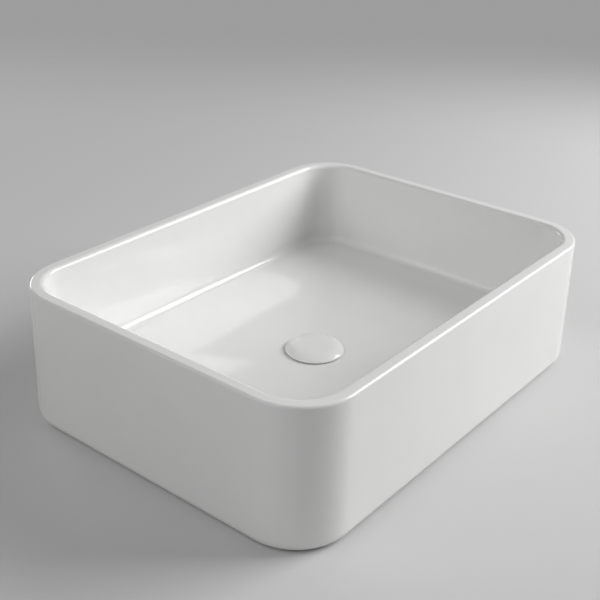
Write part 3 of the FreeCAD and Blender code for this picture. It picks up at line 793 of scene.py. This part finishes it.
carrier = turned_piece("brass_carrier", rounded_outline([
    (0, CARRIER_HIGH.z, 0),
    (CARRIER_HIGH.x, CARRIER_HIGH.z, TURNED_EDGE), (CARRIER_HIGH.x, DISC_FOOT, TURNED_EDGE),
    (SPIGOT_RADIUS, DISC_FOOT, TURNED_EDGE), (SPIGOT_RADIUS, CAP_SEAL_HIGH.z, TURNED_EDGE),
    (GROOVE_FLOOR, CAP_SEAL_HIGH.z, 0), (GROOVE_FLOOR, CAP_SEAL_LOW.z, 0),
    (SPIGOT_RADIUS, CAP_SEAL_LOW.z, TURNED_EDGE), (SPIGOT_RADIUS, CARRIER_LOW.z, TURNED_EDGE),
    (SPIGOT_INSIDE, CARRIER_LOW.z, TURNED_EDGE), (SPIGOT_INSIDE, DISC_FOOT, TURNED_EDGE),
    (BOSS_RADIUS, DISC_FOOT, TURNED_EDGE), (BOSS_RADIUS, BOSS_FOOT, TURNED_EDGE),
    (TIP_BORE, BOSS_FOOT, TURNED_EDGE), (TIP_BORE, TIP_ROOF, 0),
    (0, TIP_ROOF, 0)], steps=4, support=TURNED_EDGE / 4), BRASS)
dress(carrier, BRASS, "cap_brass", "popup", "cap_carrier")

# Cap seal: a ring of black rubber in the carrier's groove.
# It closes the waste's bore when the cap is pressed down.
CAP_SEAL_EDGE = 0.0006
cap_seal = turned_piece("cap_seal_ring", ring_section(
    GROOVE_FLOOR, CAP_SEAL_HIGH.x, CAP_SEAL_LOW.z, CAP_SEAL_HIGH.z, CAP_SEAL_EDGE), RUBBER)
dress(cap_seal, RUBBER, "seal_rubber", "popup", "cap_seal")

# Cap cover: a domed ceramic button, pressed, glazed like the basin and glued over the carrier.
# A nearly flat crown rolls over a broad shoulder into a low lip that overhangs the flange.
CAP_LOW, CAP_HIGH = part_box("cap_cover")
CAP_RADIUS = CAP_HIGH.x
CAP_LIP = 0.0004
CAP_FOOT_EDGE = 0.0003
CAP_POINTS_ROUND = 160
EDGE_RADIUS = 0.002
EDGE_STEPS = 12
SHOULDER_RADIUS = 0.024
SHOULDER_SLOPE = math.radians(35)
SHOULDER_STEPS = 28
CROWN_SLOPE = math.radians(2.5)
CROWN_STEPS = 16
GLUE_GAP = 0.0003
CAP_RECESS = CARRIER_HIGH.x + GLUE_GAP


def slope_arc(centre, radius, first, last, steps):
    """Points (radius, height) on an arc, from one slope of its surface to another."""
    slopes = [first + (last - first) * step / steps for step in range(steps + 1)]
    return [(centre.x + radius * math.sin(slope), centre.y + radius * math.cos(slope))
            for slope in slopes]


edge_centre = Vector((CAP_RADIUS - EDGE_RADIUS, CAP_LOW.z + CAP_LIP))
shoulder_lean = Vector((math.sin(SHOULDER_SLOPE), math.cos(SHOULDER_SLOPE)))
shoulder_centre = edge_centre - shoulder_lean * (SHOULDER_RADIUS - EDGE_RADIUS)
crown_radius = SHOULDER_RADIUS + shoulder_centre.x / math.sin(CROWN_SLOPE)
crown_drop = (crown_radius - SHOULDER_RADIUS) * math.cos(CROWN_SLOPE)
crown_centre = Vector((0, shoulder_centre.y - crown_drop))
dome = slope_arc(crown_centre, crown_radius, 0, CROWN_SLOPE, CROWN_STEPS)
dome += slope_arc(shoulder_centre, SHOULDER_RADIUS, CROWN_SLOPE, SHOULDER_SLOPE, SHOULDER_STEPS)[1:]
dome += slope_arc(edge_centre, EDGE_RADIUS, SHOULDER_SLOPE, math.pi / 2, EDGE_STEPS)[1:]
dome += [(CAP_RADIUS, CAP_LOW.z + CAP_FOOT_EDGE), (CAP_RADIUS - CAP_FOOT_EDGE, CAP_LOW.z)]
dome += [(CAP_RECESS, CAP_LOW.z), (CAP_RECESS, CARRIER_HIGH.z), (0, CARRIER_HIGH.z)]
cap = turned_piece("glazed_cap", dome, WHITE_GLAZE, round_points=CAP_POINTS_ROUND)
dress(cap, WHITE_GLAZE, "glaze", "popup", "cap_cover")

# Studio: a matt pale floor that fades far out, a soft key lamp to the front right, a fill lamp to
# the left, one above and a low one behind. The floor is open inside the foot, where a small lamp
# shows the waste from below. The camera looks down over the rim from the front left.
FLOOR_HALF = 6.0
FLOOR_LEVEL = -0.0003
FLOOR_GREY = 0.66
FADE_START = 0.9
FADE_END = 1.8
OPENING_INSET = 0.0085
opening_x = BOWL_HIGH.x - OPENING_INSET
opening_y = BOWL_HIGH.y - OPENING_INSET
opening_radius = CORNER_RADIUS - OPENING_INSET
floor_opening = rounded_outline([
    (0, opening_y, 0),
    (opening_x, opening_y, opening_radius), (opening_x, -opening_y, opening_radius),
    (-opening_x, -opening_y, opening_radius), (-opening_x, opening_y, opening_radius),
    (0, opening_y, 0)])[:-1]
floor_border = [(-FLOOR_HALF, -FLOOR_HALF), (FLOOR_HALF, -FLOOR_HALF),
                (FLOOR_HALF, FLOOR_HALF), (-FLOOR_HALF, FLOOR_HALF)]
work = bmesh.new()
floor_edges = []
for outline in (floor_border, floor_opening):
    corners = [work.verts.new((point[0], point[1], FLOOR_LEVEL)) for point in outline]
    for number, corner in enumerate(corners):
        floor_edges.append(work.edges.new((corners[number - 1], corner)))
bmesh.ops.triangle_fill(work, edges=floor_edges, use_beauty=True, normal=(0, 0, 1))
for face in work.faces:
    if face.normal.z < 0:
        face.normal_flip()
floor_mesh = bpy.data.meshes.new("floor")
work.to_mesh(floor_mesh)
work.free()
floor = bpy.data.objects.new("floor", floor_mesh)
bpy.context.scene.collection.objects.link(floor)
floor_material = bpy.data.materials.new("pale_floor")
floor_material.use_nodes = True
floor_tree = floor_material.node_tree
floor_shader = floor_tree.nodes["Principled BSDF"]
floor_shader.inputs["Base Color"].default_value = (FLOOR_GREY, FLOOR_GREY, FLOOR_GREY, 1)
floor_shader.inputs["Roughness"].default_value = 0.9
floor_shader.inputs["Specular IOR Level"].default_value = 0.1


def seen_rays(tree):
    """1 for what is seen, straight or in a gloss or through glass, and 0 for light on its way."""
    ray = tree.nodes.new("ShaderNodeLightPath")
    seen = ray.outputs["Is Camera Ray"]
    for label in ("Is Glossy Ray", "Is Transmission Ray"):
        seen = maths(tree, "MAXIMUM", seen, ray.outputs[label])
    return seen


floor_place = floor_tree.nodes.new("ShaderNodeTexCoord")
floor_far = add_node(floor_tree, "ShaderNodeVectorMath", {0: floor_place.outputs["Object"]},
                     operation="LENGTH")
fade = add_node(floor_tree, "ShaderNodeMapRange", {
    "Value": floor_far.outputs["Value"], "From Min": FADE_START, "From Max": FADE_END},
    interpolation_type="SMOOTHSTEP")
faded = maths(floor_tree, "MULTIPLY", fade.outputs["Result"], seen_rays(floor_tree))
below = floor_tree.nodes.new("ShaderNodeNewGeometry")
open_floor = maths(floor_tree, "MAXIMUM", below.outputs["Backfacing"], faded)
clear = floor_tree.nodes.new("ShaderNodeBsdfTransparent")
one_sided = add_node(floor_tree, "ShaderNodeMixShader", {
    0: open_floor, 1: floor_shader.outputs[0], 2: clear.outputs[0]})
floor_tree.links.new(one_sided.outputs[0], floor_tree.nodes["Material Output"].inputs["Surface"])
floor_mesh.materials.append(floor_material)

AMBIENT_STRENGTH = 0.04
BACKGROUND_STRENGTH = 0.34
world = bpy.data.worlds.new("studio")
bpy.context.scene.world = world
world.use_nodes = True
sky = world.node_tree.nodes["Background"]
sky.inputs["Color"].default_value = (1, 1, 1, 1)
strength = add_node(world.node_tree, "ShaderNodeMapRange", {
    "Value": seen_rays(world.node_tree), "To Min": AMBIENT_STRENGTH,
    "To Max": BACKGROUND_STRENGTH})
world.node_tree.links.new(strength.outputs["Result"], sky.inputs["Strength"])

LAMP_AIM = Vector((0, 0, 0.08))


def way_out(azimuth, elevation):
    """The way from the basin to a place round it; azimuth 0 is the front and 90 the right."""
    turn, rise = math.radians(azimuth), math.radians(elevation)
    level = math.cos(rise)
    return Vector((math.sin(turn) * level, -math.cos(turn) * level, math.sin(rise)))


def soft_lamp(name, azimuth, elevation, distance, size, power):
    """A square lamp that shines on the basin."""
    data = bpy.data.lights.new(name, "AREA")
    data.shape = "SQUARE"
    data.size = size
    data.energy = power
    lamp = bpy.data.objects.new(name, data)
    away = way_out(azimuth, elevation)
    lamp.location = LAMP_AIM + away * distance
    lamp.rotation_euler = away.to_track_quat("Z", "Y").to_euler()
    bpy.context.scene.collection.objects.link(lamp)


soft_lamp("key_lamp", azimuth=53, elevation=29, distance=2.3, size=1.5, power=55.0)
soft_lamp("left_lamp", azimuth=-105, elevation=40, distance=2.6, size=2.4, power=25.0)
soft_lamp("top_lamp", azimuth=0, elevation=65, distance=2.3, size=3.0, power=4.5)
soft_lamp("back_lamp", azimuth=170, elevation=12, distance=2.3, size=0.8, power=8.0)
soft_lamp("under_lamp", azimuth=-40, elevation=-50, distance=1.2, size=0.6, power=6.0)

IMAGE_WIDTH = 600
FOCAL_PIXELS = 1081.0
SENSOR_WIDTH = 36.0
VIEW_AZIMUTH = -51.428
VIEW_ELEVATION = 23.597
VIEW_ROLL = math.radians(1.42)
VIEW_SHIFT = (0.0108, -0.10)
CAMERA_PLACE = (-0.8060, -0.6104, 0.6030)
camera_data = bpy.data.cameras.new("camera")
camera_data.sensor_width = SENSOR_WIDTH
camera_data.lens = FOCAL_PIXELS / IMAGE_WIDTH * SENSOR_WIDTH
camera_data.shift_x, camera_data.shift_y = VIEW_SHIFT
camera = bpy.data.objects.new("camera", camera_data)
back = way_out(VIEW_AZIMUTH, VIEW_ELEVATION)
right = Vector((0, 0, 1)).cross(back).normalized()
up = back.cross(right)
rolled_right = right * math.cos(VIEW_ROLL) + up * math.sin(VIEW_ROLL)
rolled_up = up * math.cos(VIEW_ROLL) - right * math.sin(VIEW_ROLL)
turned = Matrix((rolled_right, rolled_up, back)).transposed()
camera.matrix_world = Matrix.Translation(CAMERA_PLACE) @ turned.to_4x4()
bpy.context.scene.collection.objects.link(camera)
bpy.context.scene.camera = camera
bpy.context.scene.view_settings.view_transform = "Standard"
